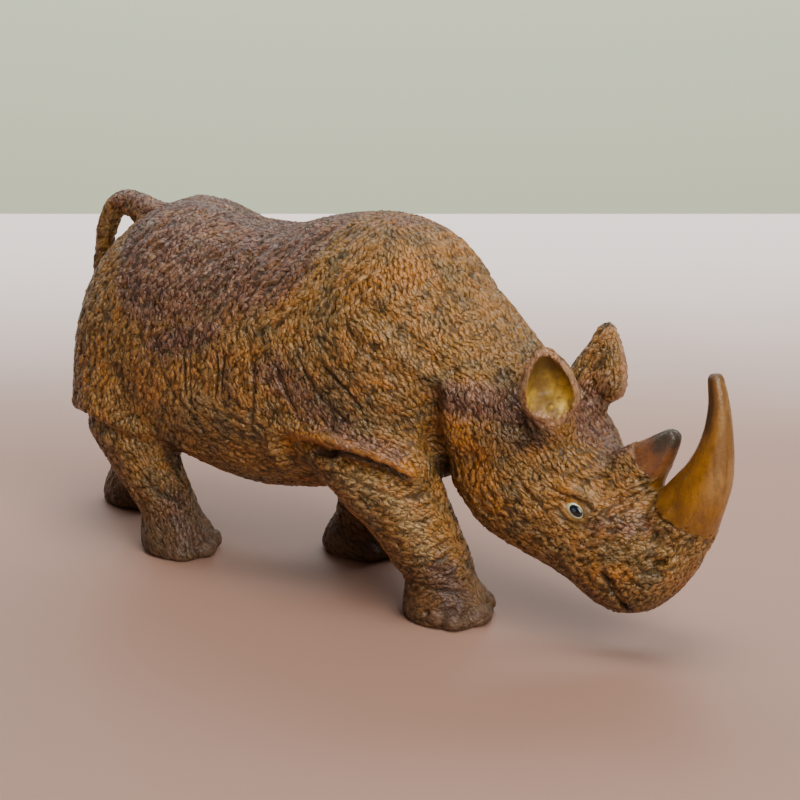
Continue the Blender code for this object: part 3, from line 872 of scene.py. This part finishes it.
HORN_GRAIN = (0.10, 0.040, 0.008)
HORN_STREAK = (0.14, 0.052, 0.008)
HORN_PAINTED_SHADED_SIDE = (0.055, 0.026, 0.012)
HORN_TIP = (0.09, 0.05, 0.025)
REAR_HORN_RED = (0.25, 0.092, 0.030)
REAR_HORN_DARK = (0.15, 0.056, 0.030)
REAR_HORN_RUST = (0.34, 0.14, 0.03)
REAR_HORN_TIP = (0.042, 0.036, 0.028)
REAR_HORN_SPECKS = (0.07, 0.030, 0.014)
WHOLE_TINT = (0.82, 0.82, 0.84)
EAR_YELLOW = (0.72, 0.46, 0.06)
EAR_OLIVE = (0.28, 0.16, 0.022)
EAR_FLECKS = (0.16, 0.085, 0.015)
EAR_STREAKS = (0.20, 0.11, 0.018)
EAR_TOP_PAINTED_SHADE = (0.08, 0.04, 0.010)
RIM_LIGHT = (0.48, 0.27, 0.16)
RIM_DARK = (0.22, 0.11, 0.07)


def stained_wood():
    material, tree, shader = new_material("stained_wood")
    skin_place = attribute(tree, "skin_place", "Vector")
    stroke = attribute(tree, "stroke", "Vector")
    across = attribute(tree, "across", "Vector")
    place = object_place(tree)
    worked = attribute(tree, "cut_here")
    fold = attribute(tree, "fold")
    front = attribute(tree, "front_horn")
    rear = attribute(tree, "rear_horn")
    share = attribute(tree, "horn_share")
    hollow = attribute(tree, "hollow")
    rim = attribute(tree, "ear_rim")
    nail = attribute(tree, "nail")
    purple = attribute(tree, "purple")
    orange = attribute(tree, "orange")
    pale = attribute(tree, "pale")
    dark_and_painted_shade = attribute(tree, "dark_and_painted_shade")
    faces_front = attribute(tree, "faces_front")
    height = add_node(tree, "ShaderNodeSeparateXYZ", {}, {"Vector": place}, "Z")

    swell_height = attribute(tree, "lobe")
    fine = (FINE_SPACING, FINE_HALF_LENGTH, FINE_HALF_WIDTH, LAYERS)
    lobe, clear = gouge_marks(skin_place, stroke, across, *fine)
    valley = (1 - clear / 0.26).clamp() * (1.25 - lobe).clamp()
    valley = valley.biggest((0.3 - lobe) * 1.2).clamp()

    broad = cloud(place, 25.0, 3.0)
    patch = cloud(place, 75.0, 4.0, 0.6)
    fleck = cloud(place, 300.0, 4.0, 0.6)
    speck = cloud(place, 1100.0, 3.0, 0.6)

    # Bare wood, then the stains over it, mottled and flecked, and painted shade with the dark stain
    base = blend(broad.rise(0.35, 0.65), DULL_OCHRE, WARM_OCHRE)
    base = blend(patch.rise(0.54, 0.68) * 0.7, base, RUSTY)
    base = blend((1 - patch).rise(0.50, 0.66) * 0.75, base, OLIVE)
    base = blend((orange + (patch - 0.5) * 0.8).rise(0.25, 0.85) * 0.8, base, ORANGE_STAIN)
    base = blend((pale + (patch - 0.5) * 0.8).rise(0.25, 0.9) * 0.7, base, WORN_PALE)
    colour_mask = (purple + (patch - 0.5) * 1.1 + (fleck - 0.5) * 0.9).rise(0.1, 0.85)
    base = blend(colour_mask * 0.88, base, PURPLE_STAIN)
    base = blend((colour_mask * fleck.rise(0.48, 0.62)) * 0.6, base, RUBBED_PURPLE)
    base = blend((colour_mask * broad.rise(0.5, 0.6)) * 0.2, base, SLATE)
    base = blend(fleck.rise(0.55, 0.7) * 0.45, base, PALE_FLECKS)
    base = blend((1 - fleck).rise(0.56, 0.7) * 0.5, base, DARK_FLECKS)
    mottle = cloud(place, 170.0, 3.0, 0.6)
    base = blend(mottle.rise(0.52, 0.64) * (1 - colour_mask * 0.6) * 0.45, base, AMBER_MOTTLE)
    base = blend((1 - mottle).rise(0.52, 0.66) * (1 - colour_mask * 0.6) * 0.5, base, GREEN_MOTTLE)
    # The legs grow darker toward the floor
    low = 1 - (height + patch * 0.012).rise(0.008, 0.040)
    base = blend(low * 0.75, base, FOOT_BROWN)
    # Dark stain, and painted shade in the throat pit, the crotches and under the arm's fold
    base = blend((dark_and_painted_shade + (patch - 0.5) * 0.6).rise(0.2, 0.9) * 0.8, base, DARK_STAIN_AND_PAINTED_SHADE)

    # Wax with a painted highlight on the crests, dark wax with painted shade in the valleys,
    # and painted shade in the folds
    crest = lobe.rise(0.55, 0.95) * worked
    base = blend(crest * 0.14, base, CREST_WAX_AND_PAINTED_HIGHLIGHT)
    base = blend((0.55 - swell_height).clamp() * worked * 0.65, base, BETWEEN_LOBES_WAX_AND_SHADE)
    base = blend(valley * worked * 0.75, base, VALLEY_WAX_AND_SHADE)
    base = blend(fold * 0.85, base, FOLD_PAINTED_SHADE)
    base = blend(speck.rise(0.6, 0.75) * 0.4, base, SPECKS)

    nail_brown = blend(fleck.rise(0.4, 0.6), NAIL_DARK, NAIL_LIGHT)
    base = blend(nail * 0.7, base, nail_brown)

    # The polished horns, with a painted lit side toward the front and a painted shaded side
    grain = cloud(vector_math("MULTIPLY", place, (1.0, 1.0, 0.25)), 400.0, 3.0, 0.6)
    uneven = cloud(place, 70.0, 4.0, 0.6)
    polished = blend(uneven.rise(0.35, 0.65), HORN_BROWN, HORN_AMBER)
    polished = blend(share.rise(0.5, 0.9) * 0.6, polished, HORN_UPPER)
    polished = blend(faces_front.rise(0.25, 0.75) * share.rise(0.35, 0.55) * 0.7, polished, HORN_PAINTED_LIT_SIDE)
    polished = blend((1 - share).rise(0.6, 0.75) * 0.35, polished, HORN_FOOT)
    polished = blend(grain.rise(0.50, 0.66) * 0.45, polished, HORN_GRAIN)
    streak = cloud(vector_math("MULTIPLY", place, (1.0, 1.0, 0.35)), 190.0, 3.0, 0.6)
    polished = blend(streak.rise(0.48, 0.64) * 0.5, polished, HORN_STREAK)
    shaded_side = (0.4 - faces_front).rise(0.0, 0.45) * share.rise(0.6, 0.78)
    polished = blend(shaded_side * streak.rise(0.3, 0.52) * 0.85, polished, HORN_PAINTED_SHADED_SIDE)
    polished = blend(share.rise(0.93, 1.0) * 0.6, polished, HORN_TIP)
    base = blend(front, base, polished)
    rear_brown = blend(streak.rise(0.4, 0.6), REAR_HORN_RED, REAR_HORN_DARK)
    rear_brown = blend(patch.rise(0.5, 0.6) * 0.5, rear_brown, REAR_HORN_RUST)
    tip = (share + (streak - 0.5) * 0.5 + (fleck - 0.5) * 0.3).rise(0.58, 0.86)
    rear_brown = blend(tip * 0.95, rear_brown, REAR_HORN_TIP)
    rear_brown = blend(speck.rise(0.55, 0.7) * 0.5, rear_brown, REAR_HORN_SPECKS)
    base = blend(rear * 0.95, base, rear_brown)
    base = blend(1.0, base, WHOLE_TINT, "MULTIPLY")

    # The ears' yellow hollows, with painted shade in their upper part, and brown rims
    inner = blend(patch.rise(0.38, 0.62), EAR_YELLOW, EAR_OLIVE)
    inner = blend(fleck.rise(0.45, 0.65) * 0.6, inner, EAR_FLECKS)
    inner = blend(streak.rise(0.46, 0.6) * 0.5, inner, EAR_STREAKS)
    inner = blend(height.rise(0.078, 0.088) * 0.85, inner, EAR_TOP_PAINTED_SHADE)
    base = blend(hollow, base, inner)
    rim_brown = blend(fleck.rise(0.45, 0.7), RIM_LIGHT, RIM_DARK)
    base = blend(rim * 0.8, base, rim_brown)
    tree.links.new(base.output, shader.inputs["Base Color"])

    rough = 0.15 + fleck * 0.32 + valley * 0.3 + (hollow + low) * 0.2
    tree.links.new(rough.output, shader.inputs["Roughness"])
    relief = (lobe.biggest(0.0) * 0.5 - valley * 0.2) * worked + speck * 0.13
    relief = relief + grain * (front + rear) * 0.12 + streak * hollow * 0.4
    bump = add_node(tree, "ShaderNodeBump", {}, {"Strength": 1.0, "Distance": RELIEF_DEPTH, "Height": relief})
    tree.links.new(bump.output, shader.inputs["Normal"])
    shader.inputs["Specular IOR Level"].default_value = 0.45
    shader.inputs["Coat Weight"].default_value = 0.08
    shader.inputs["Coat Roughness"].default_value = 0.14
    return material


wood = stained_wood()
gouging = body.modifiers.new("gouge strokes", "NODES")
gouging.node_group = gouge_tree()
set_inputs(gouging, Stroke_Spacing=3.2, Half_Length=2.6, Half_Width=0.95, Depth=0.0008, Wood=wood)
body = made_plain(body, "carved_body")

MOST_TRIANGLES = 196000
thin = body.modifiers.new("thin the mesh", "DECIMATE")
thin.ratio = MOST_TRIANGLES / (2 * len(body.data.polygons))
body = made_plain(body, "carved_rhinoceros")
body.data.shade_smooth()
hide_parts("rhinoceros")
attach(body, "root")


# The eyes. Each is a small almond left standing in the wood, painted pale green round a
# slanted blue-black pupil and varnished.
EYE_LONG = 3.05
EYE_SHORT = 2.1
EYE_PROUD = 1.2
EYE_SUNK = 0.75
PALE_GREEN = (0.66, 0.68, 0.48)
GREY_GREEN = (0.42, 0.47, 0.30)
BLUE_BLACK = (0.004, 0.006, 0.008)
GLINT_BLUE = (0.06, 0.10, 0.14)


def painted_eye(name, middle, slant):
    spot, outward, _, _ = skin.find_nearest(Vector(middle))
    outward = (spot - Vector((spot.x - 4, 0, spot.z))).normalized() * 0.2 + outward
    outward.normalize()
    slant = (Vector(slant) - Vector(slant).dot(outward) * outward).normalized()
    upper = outward.cross(slant)
    if upper.z < 0:
        upper = -upper
    mesh = bpy.data.meshes.new(name)
    bm = bmesh.new()
    bmesh.ops.create_uvsphere(bm, u_segments=48, v_segments=24, radius=1)
    gaze = bm.verts.layers.float_vector.new("gaze")
    for vert in bm.verts:
        vert[gaze] = vert.co
        spread = vert.co.x * EYE_LONG * slant + vert.co.y * EYE_SHORT * upper
        spread += vert.co.z * EYE_PROUD * outward
        vert.co = (spot + spread - EYE_SUNK * outward) / 1000
    bmesh.ops.recalc_face_normals(bm, faces=bm.faces)
    bm.to_mesh(mesh)
    bm.free()
    mesh.shade_smooth()
    eye = place_object(name, mesh)
    mesh.materials.append(eye_paint)
    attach(eye, "root")


eye_paint, eye_tree, eye_shader = new_material("eye_paint")
gaze = attribute(eye_tree, "gaze", "Vector")
gaze_long = add_node(eye_tree, "ShaderNodeSeparateXYZ", {}, {"Vector": gaze}, "X")
gaze_up = gaze_long.beside("Y")


def painted_oval(middle, half_size):
    """1 in the middle of an oval on the eye, and 0 at its edge."""
    along = (gaze_long - middle[0]) / half_size[0]
    upward = (gaze_up - middle[1]) / half_size[1]
    return 1 - (along * along + upward * upward)


uneven = cloud(gaze, 3.0, 3.0)
pupil = painted_oval((0.16, 0.22), (0.74, 0.68)) + (uneven - 0.5) * 0.3
glint = painted_oval((-0.05, 0.18), (0.30, 0.28))
paint = blend(uneven.rise(0.3, 0.7), GREY_GREEN, PALE_GREEN)
paint = blend(pupil.rise(-0.12, 0.12), paint, BLUE_BLACK)
paint = blend(glint.rise(0.0, 0.8) * 0.6, paint, GLINT_BLUE)
eye_tree.links.new(paint.output, eye_shader.inputs["Base Color"])
eye_shader.inputs["Roughness"].default_value = 0.16
eye_shader.inputs["Coat Weight"].default_value = 0.6
painted_eye("eye_right", eyes[0], (0.82, 0, -0.57))
painted_eye("eye_left", eyes[1], (0.82, 0, -0.57))
